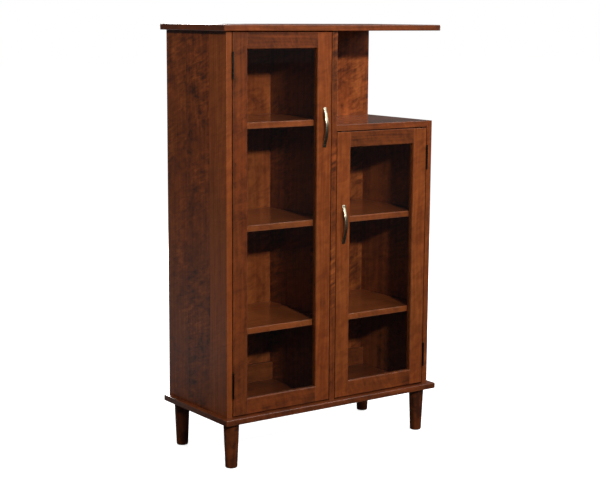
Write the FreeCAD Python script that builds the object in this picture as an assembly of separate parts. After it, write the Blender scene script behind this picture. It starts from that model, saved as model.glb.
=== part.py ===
"""Stepped glass-door bookcase on four turned legs.

A tall glazed compartment stands on the left. A shorter glazed compartment stands on the right,
and over it an open display niche runs up to the top slab, which spans both. Each compartment is
closed by one inset, side-hinged frame-and-glass door.

Frame: +Z up, front towards -Y, +X to the viewer's right, origin under the middle of the footprint.
All sizes are in millimetres.
"""
import FreeCAD
import Part

import math
import os
from types import SimpleNamespace

V = FreeCAD.Vector

# ---------------------------------------------------------------- driving dimensions
# Case
case_width = 776.0            # over the outer faces of the two side panels
case_depth = 337.0            # case front plane to the back of the back panels
case_height = 1140.0          # top of the base slab to the underside of the top slab
short_height = 857.0          # top of the base slab to the niche floor
board = 19.0                  # side panels, divider, shelves and short top
back_panel = 6.0              # plywood backs
back_rabbet = 9.5             # width of the rabbet in the left side panel
panel_ease = 1.0              # softened front edges of the case boards

# Slabs
slab = 18.0                   # thickness of the top and base slabs
slab_ease = 2.5               # rounding of every slab edge
top_side_overhang = 15.0
top_front_overhang = 15.0
top_back_overhang = 14.0
base_side_overhang = 16.5
base_front_overhang = 24.0
base_back_overhang = 7.0

# Legs, turned, and their hanger bolts
leg_length = 141.0
leg_top_radius = 24.2
leg_ankle_radius = 19.4
leg_foot_radius = 18.5
leg_ankle_height = 26.0
leg_foot_round = 4.0
leg_inset_side = 44.0         # leg centre from the side edge of the base slab
leg_inset_front = 44.0
leg_inset_back = 37.0
bolt_radius = 4.0
bolt_in_leg = 34.0
bolt_in_slab = 12.0
insert_radius = 6.5
insert_length = 13.0

# Shelves and what holds them
tall_shelf_tops = (260.0, 570.0, 875.0)     # above the base slab
short_shelf_tops = (260.0, 570.0)
shelf_side_gap = 1.0
shelf_back_gap = 2.0
shelf_door_gap = 4.0          # shelf front edge behind the back of the door
shelf_ease = 1.5
pin_radius = 2.5
pin_reach = 12.0
pin_width = 10.0
pin_plate = 1.6
pin_inset = 45.0              # pin centre from the shelf's front and back edges

# Rails at the foot of the back panels
rail_height = 58.0
rail_thickness = 16.0

# Doors
door_thickness = 19.0
door_gap = 3.0                # all round, between door and case
door_ease = 1.2
stile_width = 51.0
rail_width = 48.0
sight_chamfer = 2.0
rabbet_width = 8.0            # ledge that holds the glass
rabbet_front = 8.0            # frame thickness left in front of the glass
glass_thickness = 3.0
glass_gap = 1.5
stop_width = 7.5
tenon_thickness = 6.0
tenon_length = 24.0
tenon_shoulder = 10.0
tenon_gap = 0.1
tenon_end_gap = 1.0

# Butt hinges
hinge_height = 76.0
hinge_end_offset = 56.0       # hinge end to the nearer end of the door
hinge_knuckles = 5
knuckle_radius = 3.0
knuckle_gap = 0.3
barrel_clearance = 0.3        # barrel to the front plane
leaf_thickness = 1.3
leaf_reach = 19.0             # pin axis to the free edge of the leaf
hinge_pin_radius = 1.55
hinge_pin_clearance = 0.05
hinge_pin_head_radius = 2.6
hinge_pin_head = 1.4

# Bow handles
handle_length = 122.0
handle_centres = 96.0         # between the two screws
handle_drop = 285.0           # handle centre below the top of its door
handle_width = 12.0
handle_projection = 17.0
handle_strap = 4.8
handle_toe_height = 4.8
handle_toe_tip = 3.0
handle_toe_length = 9.0
handle_foot_length = 22.5     # flat against the stile at each end
handle_screw_radius = 2.0
handle_screw_bite = 5.0
handle_screw_clearance = 0.3
handle_screw_head_radius = 4.0
handle_screw_head = 2.4

# Magnetic catches
catch_length = 46.0
catch_depth = 15.0
catch_height = 12.0
catch_inset = 12.0            # catch end beyond the handle stile
catch_air = 0.4               # magnet face to strike plate with the door shut
magnet_length = 26.0
magnet_height = 7.0
magnet_depth = 9.0
pole_plate = 1.4
strike_length = 32.0
strike_height = 10.0
strike_thickness = 1.2
strike_drop = 1.0             # strike plate below the top edge of the door

# Fasteners
dowel_radius = 4.0
dowel_in_slab = 11.0
side_web = 3.0                # wood left between bores from both sides of a board
dowel_in_panel = 20.0
dowel_gap = 0.05
dowel_end_gap = 1.0
dowels_per_edge = 4
dowels_per_rail_end = 2
dowel_margin = 40.0
dowel_margin_rail = 14.0
screw_radius = 1.5
screw_gap = 0.05
screw_tip = 3.0
screw_head_radius = 3.1
screw_head = 1.9
screw_recess_width = 0.8
screw_recess_length = 3.4
hinge_screw_length = 14.0
hinge_screw_spread = 26.0
hinge_screw_stagger = 4.0
hinge_screw_clear = 0.25      # leaf hole round the screw head
catch_screw_length = 14.0
strike_screw_length = 10.0
back_screw_length = 16.0
back_screws_per_edge = 5

# ---------------------------------------------------------------- derived planes
reach_front = max(base_front_overhang, top_front_overhang, handle_projection)
reach_back = max(base_back_overhang, top_back_overhang)
front = reach_front - (case_depth + reach_front + reach_back) / 2    # case front plane
rear = front + case_depth                                            # back of the back panels
back_face = rear - back_panel                                        # inside of the back panels
left = -case_width / 2                                               # outer faces of the case
right = case_width / 2
left_in = left + board                                               # inner faces
right_in = right - board
bay = (case_width - 3 * board) / 2                                   # clear width of each side
divider_left = left_in + bay
divider_right = divider_left + board
divider_mid = (divider_left + divider_right) / 2
slab_under = leg_length                                              # underside of the base slab
floor = slab_under + slab                                            # top of the base slab
ceiling = floor + case_height                                        # underside of the top slab
short_top_face = floor + short_height                                # niche floor
short_ceiling = short_top_face - board
door_back = front + door_thickness
shelf_front = door_back + shelf_door_gap
shelf_back = back_face - shelf_back_gap
hinge_axis_y = front - knuckle_radius - barrel_clearance
side_bore = (board - side_web) / 2                                   # depth of studs in a face
back_screw_margin = rail_height / 2                                  # between a rail's dowels


# ---------------------------------------------------------------- helpers
def box(xa, xb, ya, yb, za, zb):
    """A block between two values on each axis, given in either order."""
    x, y, z = min(xa, xb), min(ya, yb), min(za, zb)
    return Part.makeBox(abs(xb - xa), abs(yb - ya), abs(zb - za), V(x, y, z))


def rod(radius, start, direction, length):
    """A cylinder from start along direction."""
    return Part.makeCylinder(radius, length, start, direction)


def spread(low, high, count):
    """Evenly spaced values, the first at low and the last at high."""
    return [low + (high - low) * i / (count - 1) for i in range(count)]


def cut_all(shape, tools):
    """The shape with every tool taken away."""
    return shape.cut(Part.makeCompound(tools)) if tools else shape


def fuse_all(shapes):
    """One solid out of several that touch or overlap."""
    whole = shapes[0]
    for other in shapes[1:]:
        whole = whole.fuse(other)
    return whole.removeSplitter()


def ease(shape, radius, chosen):
    """Rounds the edges for which chosen(bounding box) is true."""
    return shape.makeFillet(radius, [e for e in shape.Edges if chosen(e.BoundBox)])


def at_front(bb):
    """True for an upright edge in the case front plane."""
    return abs(bb.YMax - front) < 0.01 and bb.ZLength > bb.XLength


def along_front(bb):
    """True for a level edge in the front face of a shelf."""
    return abs(bb.YMax - shelf_front) < 0.01 and bb.XLength > bb.ZLength


# ---------------------------------------------------------------- dowels
def dowel_line(x, y, z, direction, blind, deep):
    """A dowel across a joint at (x, y, z): blind deep against direction, deep along it."""
    return SimpleNamespace(at=V(x, y, z), axis=direction, blind=blind, deep=deep)


def slab_dowels(x, z, direction):
    """The dowels between a slab and the end of an upright panel at x."""
    places = spread(front + dowel_margin, back_face - dowel_margin, dowels_per_edge)
    return [dowel_line(x, y, z, direction, dowel_in_slab, dowel_in_panel) for y in places]


def short_top_dowels(x, direction):
    """The dowels between an upright face at x and the short top panel."""
    places = spread(front + dowel_margin, back_face - dowel_margin, dowels_per_edge)
    z = short_ceiling + board / 2
    return [dowel_line(x, y, z, direction, side_bore, dowel_in_panel) for y in places]


def rail_dowels(x, direction):
    """The dowels between an upright face at x and the end of a back rail."""
    y = back_face - rail_thickness / 2
    places = spread(floor + dowel_margin_rail, floor + rail_height - dowel_margin_rail,
                    dowels_per_rail_end)
    return [dowel_line(x, y, z, direction, side_bore, dowel_in_panel) for z in places]


up, down = V(0, 0, 1), V(0, 0, -1)
toward_right, toward_left = V(1, 0, 0), V(-1, 0, 0)
toward_back, toward_front = V(0, 1, 0), V(0, -1, 0)
left_mid, right_mid = left + board / 2, right - board / 2

all_dowels = (
    slab_dowels(left_mid, floor, up) + slab_dowels(divider_mid, floor, up)
    + slab_dowels(right_mid, floor, up)
    + slab_dowels(left_mid, ceiling, down) + slab_dowels(divider_mid, ceiling, down)
    + short_top_dowels(divider_right, toward_right) + short_top_dowels(right_in, toward_left)
    + rail_dowels(left_in, toward_right) + rail_dowels(divider_left, toward_left)
    + rail_dowels(divider_right, toward_right) + rail_dowels(right_in, toward_left)
)


def dowel(joint, grow=0.0, end=0.0):
    """The dowel of one joint, or with grow and end the hole for it."""
    start = joint.at - joint.axis * (joint.blind + end)
    return rod(dowel_radius + grow, start, joint.axis, joint.blind + joint.deep + 2 * end)


def dowel_holes():
    """The holes for every dowel of the case."""
    return [dowel(joint, dowel_gap, dowel_end_gap) for joint in all_dowels]


# ---------------------------------------------------------------- screws
def countersunk(at, direction, length, grow=0.0):
    """A flat-head wood screw with its head face at the point, driven along direction."""
    lead = grow * 8
    points = [V(0, 0, -lead), V(screw_head_radius + grow, 0, -lead),
              V(screw_head_radius + grow, 0, 0), V(screw_radius + grow, 0, screw_head),
              V(screw_radius + grow, 0, length - screw_tip + grow), V(0, 0, length + grow)]
    return turned(points, at, direction)


def pan_head(at, direction, length, grow=0.0):
    """A pan-head screw whose head sits on the surface at the point."""
    top = screw_head * 0.8
    points = [V(0, 0, -top), V(screw_head_radius * 0.7, 0, -top),
              V(screw_head_radius, 0, -top * 0.4), V(screw_head_radius, 0, 0),
              V(screw_radius + grow, 0, 0), V(screw_radius + grow, 0, length - screw_tip + grow),
              V(0, 0, length + grow)]
    return turned(points, at, direction)


def turned(points, at, direction):
    """The solid of revolution of an outline, its axis moved to at and along direction."""
    outline = Part.Face(Part.makePolygon(points + [points[0]]))
    solid = outline.revolve(V(0, 0, 0), V(0, 0, 1), 360)
    solid.Placement = FreeCAD.Placement(at, FreeCAD.Rotation(V(0, 0, 1), direction))
    return solid


def cross_recess(at, direction, depth):
    """The driver recess of a screw head, as two crossed slots."""
    half, thin = screw_recess_length / 2, screw_recess_width / 2
    cross = box(-half, half, -thin, thin, 0, depth).fuse(box(-thin, thin, -half, half, 0, depth))
    cross.Placement = FreeCAD.Placement(at, FreeCAD.Rotation(V(0, 0, 1), direction))
    return cross


def driven(at, direction, length):
    """A countersunk screw with its recess."""
    screw = countersunk(at, direction, length)
    return screw.cut(cross_recess(at, direction, screw_head * 0.7))


def driven_pan(at, direction, length):
    """A pan-head screw with its recess."""
    top = screw_head * 0.8
    recess = cross_recess(at - direction * top, direction, top * 0.8)
    return pan_head(at, direction, length).cut(recess)


# ---------------------------------------------------------------- hinges
def make_door(name, x_low, x_high, z_low, z_high, hinge_side):
    """The places that one door and its hinges share. hinge_side is -1 left or +1 right."""
    door = SimpleNamespace(name=name, x0=x_low, x1=x_high, z0=z_low, z1=z_high, side=hinge_side)
    door.hinge_edge = x_low if hinge_side < 0 else x_high
    door.free_edge = x_high if hinge_side < 0 else x_low
    door.jamb = door.hinge_edge + hinge_side * door_gap
    door.axis_x = door.hinge_edge + hinge_side * door_gap / 2
    door.ox0, door.ox1 = x_low + stile_width, x_high - stile_width
    door.oz0, door.oz1 = z_low + rail_width, z_high - rail_width
    door.hinges = {"lower": z_low + hinge_end_offset,
                   "upper": z_high - hinge_end_offset - hinge_height}
    door.handle_x = door.free_edge + hinge_side * stile_width / 2
    door.handle_z = z_high - handle_drop
    door.ceiling = z_high + door_gap
    catch_start = door.free_edge + hinge_side * (stile_width + catch_inset)
    door.catch_x0 = min(catch_start, catch_start + hinge_side * catch_length)
    door.catch_mid = door.catch_x0 + catch_length / 2
    return door


tall = make_door("tall_door", left_in + door_gap, divider_left - door_gap,
                 floor + door_gap, ceiling - door_gap, -1)
short = make_door("short_door", divider_right + door_gap, right_in - door_gap,
                  floor + door_gap, short_ceiling - door_gap, 1)


def knuckle_spans(z, own):
    """The heights of the knuckles, every other one, starting at index own."""
    pitch = hinge_height / hinge_knuckles
    return [(z + i * pitch, z + (i + 1) * pitch) for i in range(own, hinge_knuckles, 2)]


def leaf(door, z, toward, own):
    """One hinge leaf with its knuckles. toward is -1 or +1, the way its plate lies from the axis."""
    x_wood = door.axis_x + toward * door_gap / 2
    x_air = x_wood - toward * leaf_thickness
    y = hinge_axis_y
    plate = box(x_wood, x_air, y, y + leaf_reach, z, z + hinge_height)
    notch_y = y + knuckle_radius + knuckle_gap
    notches = [box(door.axis_x - knuckle_radius, door.axis_x + knuckle_radius,
                   y - knuckle_radius, notch_y, a - knuckle_gap / 2, b + knuckle_gap / 2)
               for a, b in knuckle_spans(z, 1 - own)]
    tubes = []
    for a, b in knuckle_spans(z, own):
        low = a + (knuckle_gap / 2 if a > z else 0)
        high = b - (knuckle_gap / 2 if b < z + hinge_height - 0.01 else 0)
        tubes.append(rod(knuckle_radius, V(door.axis_x, y, low), up, high - low))
    body = fuse_all([cut_all(plate, notches)] + tubes)
    bore = rod(hinge_pin_radius + hinge_pin_clearance, V(door.axis_x, y, z - 1), up,
               hinge_height + 2)
    holes = [countersunk(p, d, hinge_screw_length, hinge_screw_clear)
             for p, d in leaf_screw_places(door, z, toward)]
    return cut_all(body, [bore] + holes)


def leaf_screw_places(door, z, toward):
    """Head position and direction of the screws through one leaf."""
    x = door.axis_x + toward * (door_gap / 2 - leaf_thickness)
    mid_y = (front + hinge_axis_y + leaf_reach) / 2
    places = []
    for k in (-1, 0, 1):
        y = mid_y + hinge_screw_stagger * (1 if k == 0 else -1) / 2
        places.append((V(x, y, z + hinge_height / 2 + k * hinge_screw_spread), V(toward, 0, 0)))
    return places


def hinge_pin(door, z):
    """The pin of one hinge, with a head at each end."""
    low = V(door.axis_x, hinge_axis_y, z)
    shaft = rod(hinge_pin_radius, low, up, hinge_height)
    heads = [rod(hinge_pin_head_radius, low, down, hinge_pin_head),
             rod(hinge_pin_head_radius, low + up * hinge_height, up, hinge_pin_head)]
    return fuse_all([shaft] + heads)


def hinge_places(door, toward):
    """Every screw place of one door's leaves on one side."""
    return [place for z in door.hinges.values() for place in leaf_screw_places(door, z, toward)]


def case_hinge_places():
    """Every hinge screw place in the case."""
    return hinge_places(tall, tall.side) + hinge_places(short, short.side)


def screw_holes(places, length):
    """Pilot holes for countersunk screws."""
    return [countersunk(p, d, length, screw_gap) for p, d in places]


# ---------------------------------------------------------------- doors
def door_envelope(door):
    """The outside of the whole door, with its edges softened."""
    whole = box(door.x0, door.x1, front, door_back, door.z0, door.z1)
    return whole.makeFillet(door_ease, whole.Edges)


def glass_rabbet(door):
    """The pocket behind the frame that takes the glass and its stops."""
    return box(door.ox0 - rabbet_width, door.ox1 + rabbet_width, front + rabbet_front, door_back + 1,
               door.oz0 - rabbet_width, door.oz1 + rabbet_width)


def sight_edge(door):
    """The bevel round the front of the glass opening."""
    def ring(y, grow):
        x0, x1 = door.ox0 - grow, door.ox1 + grow
        z0, z1 = door.oz0 - grow, door.oz1 + grow
        corners = [V(x0, y, z0), V(x1, y, z0), V(x1, y, z1), V(x0, y, z1)]
        return Part.makePolygon(corners + [corners[0]])
    proud = 1.0
    return Part.makeLoft([ring(front - proud, sight_chamfer + proud),
                          ring(front + sight_chamfer, 0)], True, True)


def tenon(door, rail_z, outer, toward, grow=0.0, end=0.0):
    """The tenon at one end of a rail, or with grow and end its mortise."""
    shoulder = door.ox0 if toward < 0 else door.ox1
    mid_y = front + door_thickness / 2
    z_low = rail_z + (tenon_shoulder if outer > 0 else rabbet_width + tenon_end_gap)
    z_high = rail_z + rail_width - (rabbet_width + tenon_end_gap if outer > 0 else tenon_shoulder)
    return box(shoulder, shoulder + toward * (tenon_length + end),
               mid_y - tenon_thickness / 2 - grow, mid_y + tenon_thickness / 2 + grow,
               z_low - grow, z_high + grow)


def door_rail(door, place):
    """A horizontal member with a stub tenon at each end. place is 'top' or 'bottom'."""
    z, outer = (door.z1 - rail_width, -1) if place == "top" else (door.z0, 1)
    bar = box(door.ox0, door.ox1, front, door_back, z, z + rail_width)
    bar = bar.common(door_envelope(door))
    bar = cut_all(bar, [glass_rabbet(door), sight_edge(door)])
    bar = fuse_all([bar, tenon(door, z, outer, -1), tenon(door, z, outer, 1)])
    if place == "top":
        bar = cut_all(bar, [countersunk(strike_screw_place(door), toward_front,
                                        strike_screw_length, screw_gap)])
    return bar


def door_stile(door, toward):
    """An upright member, mortised for both rails. toward is -1 left or +1 right."""
    inner, outer = (door.ox0, door.x0) if toward < 0 else (door.ox1, door.x1)
    post = box(inner, outer, front, door_back, door.z0, door.z1).common(door_envelope(door))
    tools = [glass_rabbet(door), sight_edge(door),
             tenon(door, door.z0, 1, toward, tenon_gap, tenon_end_gap),
             tenon(door, door.z1 - rail_width, -1, toward, tenon_gap, tenon_end_gap)]
    if toward == door.side:
        tools += screw_holes(hinge_places(door, -door.side), hinge_screw_length)
    else:
        tools += [rod(handle_screw_radius + handle_screw_clearance, V(door.handle_x, front - 1, z),
                      toward_back, door_thickness + 2) for z in handle_screw_heights(door)]
    return cut_all(post, tools)


def glass(door):
    """The pane, resting in the rabbet with a gap all round."""
    grow = rabbet_width - glass_gap
    y = front + rabbet_front
    return box(door.ox0 - grow, door.ox1 + grow, y, y + glass_thickness,
               door.oz0 - grow, door.oz1 + grow)


def glass_stops(door):
    """Four wooden beads that hold the pane from behind."""
    y0, y1 = front + rabbet_front + glass_thickness, door_back
    x0, x1 = door.ox0 - rabbet_width, door.ox1 + rabbet_width
    z0, z1 = door.oz0 - rabbet_width, door.oz1 + rabbet_width
    w = stop_width
    beads = [box(x0, x0 + w, y0, y1, z0, z1), box(x1 - w, x1, y0, y1, z0, z1),
             box(x0 + w, x1 - w, y0, y1, z0, z0 + w), box(x0 + w, x1 - w, y0, y1, z1 - w, z1)]
    return Part.makeCompound(beads)


# ---------------------------------------------------------------- handles
def handle_screw_heights(door):
    """The heights of the two handle screws."""
    return [door.handle_z - handle_centres / 2, door.handle_z + handle_centres / 2]


def handle(door):
    """A bow pull: an arched strap whose ends come down to flat feet on the stile."""
    x = door.handle_x - handle_width / 2
    half = handle_length / 2
    foot_in = half - handle_foot_length
    toe_in = half - handle_toe_length
    def at(z, out):
        return V(x, front - out, door.handle_z + z)
    outer = Part.Arc(at(-toe_in, handle_toe_height), at(0, handle_projection),
                     at(toe_in, handle_toe_height)).toShape()
    inner = Part.Arc(at(foot_in, 0), at(0, handle_projection - handle_strap),
                     at(-foot_in, 0)).toShape()
    top_side = Part.makePolygon([at(toe_in, handle_toe_height), at(half, handle_toe_tip),
                                 at(half, 0), at(foot_in, 0)])
    low_side = Part.makePolygon([at(-foot_in, 0), at(-half, 0), at(-half, handle_toe_tip),
                                 at(-toe_in, handle_toe_height)])
    outline = Part.Wire(Part.__sortEdges__([outer, inner] + top_side.Edges + low_side.Edges))
    body = Part.Face(outline).extrude(V(handle_width, 0, 0))
    holes = [rod(handle_screw_radius + screw_gap, V(door.handle_x, front, z), toward_front,
                 handle_screw_bite) for z in handle_screw_heights(door)]
    return cut_all(body, holes)


def handle_screws(door):
    """Two machine screws through the stile into the handle's feet."""
    screws = []
    for z in handle_screw_heights(door):
        seat = V(door.handle_x, door_back, z)
        shank = rod(handle_screw_radius, seat, toward_front, door_thickness + handle_screw_bite - 0.5)
        head = rod(handle_screw_head_radius, seat, toward_back, handle_screw_head)
        head = head.makeFillet(0.8, [e for e in head.Edges
                                     if e.BoundBox.YMin > door_back + 0.1 and e.Closed])
        recess = cross_recess(seat + toward_back * handle_screw_head, toward_front,
                              handle_screw_head * 0.6)
        screws.append(fuse_all([shank, head]).cut(recess))
    return Part.makeCompound(screws)


# ---------------------------------------------------------------- catches
def catch_faces(door):
    """Front face and back face of a catch housing."""
    face = door_back + strike_thickness + catch_air
    return face, face + catch_depth


def strike_middle(door):
    """Height of the middle of the strike plate."""
    return door.z1 - strike_drop - strike_height / 2


def magnet_block(door, grow=0.0):
    """The magnet with its two pole plates, as one block, or its pocket."""
    face = catch_faces(door)[0]
    z = strike_middle(door)
    half = magnet_length / 2 + grow
    return box(door.catch_mid - half, door.catch_mid + half, face, face + magnet_depth,
               z - magnet_height / 2 - grow, z + magnet_height / 2 + grow)


def catch_screw_places(door):
    """Head positions of the two screws that hold a catch to the panel above it."""
    face, back = catch_faces(door)
    y = (face + back) / 2
    reach = (catch_length + magnet_length) / 4
    z = door.ceiling - catch_height
    return [(V(door.catch_mid + s * reach, y, z), up) for s in (-1, 1)]


def catch_housing(door):
    """The plastic body of a magnetic catch."""
    face, back = catch_faces(door)
    body = box(door.catch_x0, door.catch_x0 + catch_length, face, back,
               door.ceiling - catch_height, door.ceiling)
    body = ease(body, 2.0, lambda bb: bb.ZLength > bb.XLength and bb.YMin > face + 1)
    return cut_all(body, [magnet_block(door, screw_gap)]
                   + [countersunk(p, d, catch_screw_length, 0.2)
                      for p, d in catch_screw_places(door)])


def catch_magnets():
    """Both magnets and their pole plates, each a separate solid."""
    pieces = []
    for door in (tall, short):
        face = catch_faces(door)[0]
        z = strike_middle(door)
        half_x, half_z = magnet_length / 2, magnet_height / 2
        x0, x1 = door.catch_mid - half_x, door.catch_mid + half_x
        y0, y1 = face, face + magnet_depth
        pieces += [box(x0, x1, y0, y1, z - half_z, z - half_z + pole_plate),
                   box(x0, x1, y0, y1, z + half_z - pole_plate, z + half_z),
                   box(x0, x1, y0 + 0.6, y1, z - half_z + pole_plate, z + half_z - pole_plate)]
    return Part.makeCompound(pieces)


def strike_screw_place(door):
    """Head position of the strike plate's screw."""
    return V(door.catch_mid, door_back + strike_thickness, strike_middle(door))


def strike_plate(door):
    """The steel plate that the magnet holds."""
    z = strike_middle(door)
    half = strike_length / 2
    plate = box(door.catch_mid - half, door.catch_mid + half, door_back,
                door_back + strike_thickness, z - strike_height / 2, z + strike_height / 2)
    plate = ease(plate, 2.0, lambda bb: bb.YLength > bb.XLength and bb.YLength > bb.ZLength)
    return cut_all(plate, [countersunk(strike_screw_place(door), toward_front,
                                       strike_screw_length, 0.15)])


# ---------------------------------------------------------------- shelves
def shelf_pin(face_x, toward, y, under):
    """A support: a stud in the panel, a plate on its face and a ledge under the shelf."""
    stud = rod(pin_radius, V(face_x, y, under - pin_reach / 2), V(-toward, 0, 0), side_bore)
    plate = box(face_x, face_x + toward * pin_plate / 2, y - pin_width / 2, y + pin_width / 2,
                under - pin_reach, under)
    ledge = box(face_x, face_x + toward * pin_reach, y - pin_width / 2, y + pin_width / 2,
                under - pin_plate, under)
    return fuse_all([plate, ledge, stud])


def shelf_rows():
    """Each compartment's walls with the undersides of its shelves."""
    return [(left_in, divider_left, [floor + top - board for top in tall_shelf_tops]),
            (divider_right, right_in, [floor + top - board for top in short_shelf_tops])]


def pin_places():
    """Face, direction, depth position and shelf underside of every shelf pin."""
    places = []
    for wall_left, wall_right, undersides in shelf_rows():
        for under in undersides:
            for y in (shelf_front + pin_inset, shelf_back - pin_inset):
                places.append((wall_left, 1, y, under))
                places.append((wall_right, -1, y, under))
    return places


def pin_holes():
    """The blind holes for the shelf pins."""
    return [rod(pin_radius + screw_gap, V(face, y, under - pin_reach / 2), V(-toward, 0, 0),
                side_bore + screw_gap) for face, toward, y, under in pin_places()]


def shelf_pins():
    """All shelf pins, four under each shelf."""
    return Part.makeCompound([shelf_pin(*place) for place in pin_places()])


def shelf(wall_left, wall_right, top):
    """A loose shelf with its two long front edges softened."""
    plank = box(wall_left + shelf_side_gap, wall_right - shelf_side_gap, shelf_front, shelf_back,
                floor + top - board, floor + top)
    return ease(plank, shelf_ease, along_front)


# ---------------------------------------------------------------- legs
def leg_centres():
    """Names and plan positions of the four legs."""
    x = case_width / 2 + base_side_overhang - leg_inset_side
    y_front = front - base_front_overhang + leg_inset_front
    y_back = rear + base_back_overhang - leg_inset_back
    return {"front_left_leg": V(-x, y_front, 0), "front_right_leg": V(x, y_front, 0),
            "back_left_leg": V(-x, y_back, 0), "back_right_leg": V(x, y_back, 0)}


def leg(centre):
    """A round leg that tapers to an ankle, with a rounded foot, bored for its hanger bolt."""
    r, foot = leg_foot_round, leg_foot_radius
    bend = r * (1 - math.sqrt(0.5))
    points = [V(foot, 0, r), V(leg_ankle_radius, 0, leg_ankle_height),
              V(leg_top_radius, 0, leg_length), V(0, 0, leg_length), V(0, 0, 0),
              V(foot - r, 0, 0)]
    rounding = Part.Arc(V(foot - r, 0, 0), V(foot - bend, 0, bend), V(foot, 0, r)).toShape()
    outline = Part.Wire(Part.__sortEdges__(Part.makePolygon(points).Edges + [rounding]))
    body = Part.Face(outline).revolve(V(0, 0, 0), V(0, 0, 1), 360)
    body.translate(centre)
    bore = rod(bolt_radius + screw_gap, centre + up * (leg_length - bolt_in_leg - 1), up,
               bolt_in_leg + 2)
    return body.cut(bore)


def hanger_bolts():
    """Four bolts, half in a leg and half in the insert above it."""
    bolts = [rod(bolt_radius, c + up * (leg_length - bolt_in_leg), up, bolt_in_leg + bolt_in_slab)
             for c in leg_centres().values()]
    return Part.makeCompound([b.makeChamfer(0.8, [e for e in b.Edges if e.Closed]) for b in bolts])


def threaded_inserts():
    """Four threaded sleeves let into the underside of the base slab."""
    sleeves = []
    for centre in leg_centres().values():
        foot = centre + up * slab_under
        sleeve = rod(insert_radius, foot, up, insert_length)
        sleeves.append(sleeve.cut(rod(bolt_radius + screw_gap, foot - up, up, insert_length + 2)))
    return Part.makeCompound(sleeves)


# ---------------------------------------------------------------- case boards
def slab_block(side, front_over, back_over, z):
    """A slab with every edge rounded."""
    block = box(left - side, right + side, front - front_over, rear + back_over, z, z + slab)
    return block.makeFillet(slab_ease, block.Edges)


def top_slab():
    """The full-width top, which also roofs the niche."""
    block = slab_block(top_side_overhang, top_front_overhang, top_back_overhang, ceiling)
    return cut_all(block, dowel_holes() + screw_holes(catch_screw_places(tall),
                                                      catch_screw_length))


def base_slab():
    """The base that carries the case, with pockets for the leg inserts."""
    block = slab_block(base_side_overhang, base_front_overhang, base_back_overhang, slab_under)
    pockets = [rod(insert_radius + screw_gap, c + up * (slab_under - 1), up, insert_length + 2)
               for c in leg_centres().values()]
    return cut_all(block, dowel_holes() + pockets)


def panel_holes():
    """Everything that is bored into the upright case panels."""
    return (dowel_holes() + pin_holes() + screw_holes(case_hinge_places(), hinge_screw_length)
            + back_screw_holes())


def left_side_panel():
    """The tall outer side, rabbeted at the back for the back panel."""
    panel = ease(box(left, left_in, front, rear, floor, ceiling), panel_ease, at_front)
    rabbet = box(left_in - back_rabbet, left_in + 1, back_face, rear + 1, floor - 1, ceiling + 1)
    return cut_all(panel, [rabbet] + panel_holes())


def divider_panel():
    """The full-height panel between the two compartments."""
    panel = box(divider_left, divider_right, front, back_face, floor, ceiling)
    return cut_all(ease(panel, panel_ease, at_front), panel_holes())


def right_side_panel():
    """The short outer side, which ends flush with the niche floor."""
    panel = box(right_in, right, front, back_face, floor, short_top_face)
    return cut_all(ease(panel, panel_ease, at_front), panel_holes())


def short_top_panel():
    """The roof of the short compartment and the floor of the niche."""
    panel = box(divider_right, right_in, front, back_face, short_ceiling, short_top_face)
    panel = ease(panel, panel_ease, lambda bb: abs(bb.YMax - front) < 0.01 and bb.XLength > 1)
    return cut_all(panel, dowel_holes() + screw_holes(catch_screw_places(short),
                                                      catch_screw_length))


def back_rail(wall_left, wall_right):
    """The rail across the foot of a back panel."""
    rail = box(wall_left, wall_right, back_face - rail_thickness, back_face,
               floor, floor + rail_height)
    return cut_all(rail, dowel_holes())


# ---------------------------------------------------------------- back panels
seam = 0.5                    # between the two back panels, on the divider's edge
tall_back_left = left_in - back_rabbet + seam
tall_back_right = divider_mid - seam / 2
right_back_left = divider_mid + seam / 2


def back_screw_places():
    """Positions of the screws along the upright edges of the back panels."""
    tall_heights = spread(floor + back_screw_margin, ceiling - back_screw_margin,
                          back_screws_per_edge)
    side_heights = spread(floor + back_screw_margin, short_ceiling - back_screw_margin,
                          back_screws_per_edge)
    lap = (board - seam) / 4
    columns = [(left_in - back_rabbet / 2, tall_heights), (tall_back_right - lap, tall_heights),
               (right_back_left + lap, tall_heights), (right_mid, side_heights)]
    return [V(x, rear, z) for x, heights in columns for z in heights]


def back_screw_holes():
    """Pilot holes for the back panels' screws."""
    return [rod(screw_radius + screw_gap, p + toward_back, toward_front, back_screw_length + 2)
            for p in back_screw_places()]


def back_screws():
    """The screws that hold both back panels."""
    return Part.makeCompound([driven_pan(p, toward_front, back_screw_length)
                              for p in back_screw_places()])


def tall_back_panel():
    """The back of the tall compartment."""
    panel = box(tall_back_left, tall_back_right, back_face, rear, floor, ceiling)
    return cut_all(panel, back_screw_holes())


def right_back_panel():
    """The back of the short compartment and of the niche above it, in one sheet."""
    panel = box(right_back_left, right, back_face, rear, floor, ceiling)
    return cut_all(panel, back_screw_holes())


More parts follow.
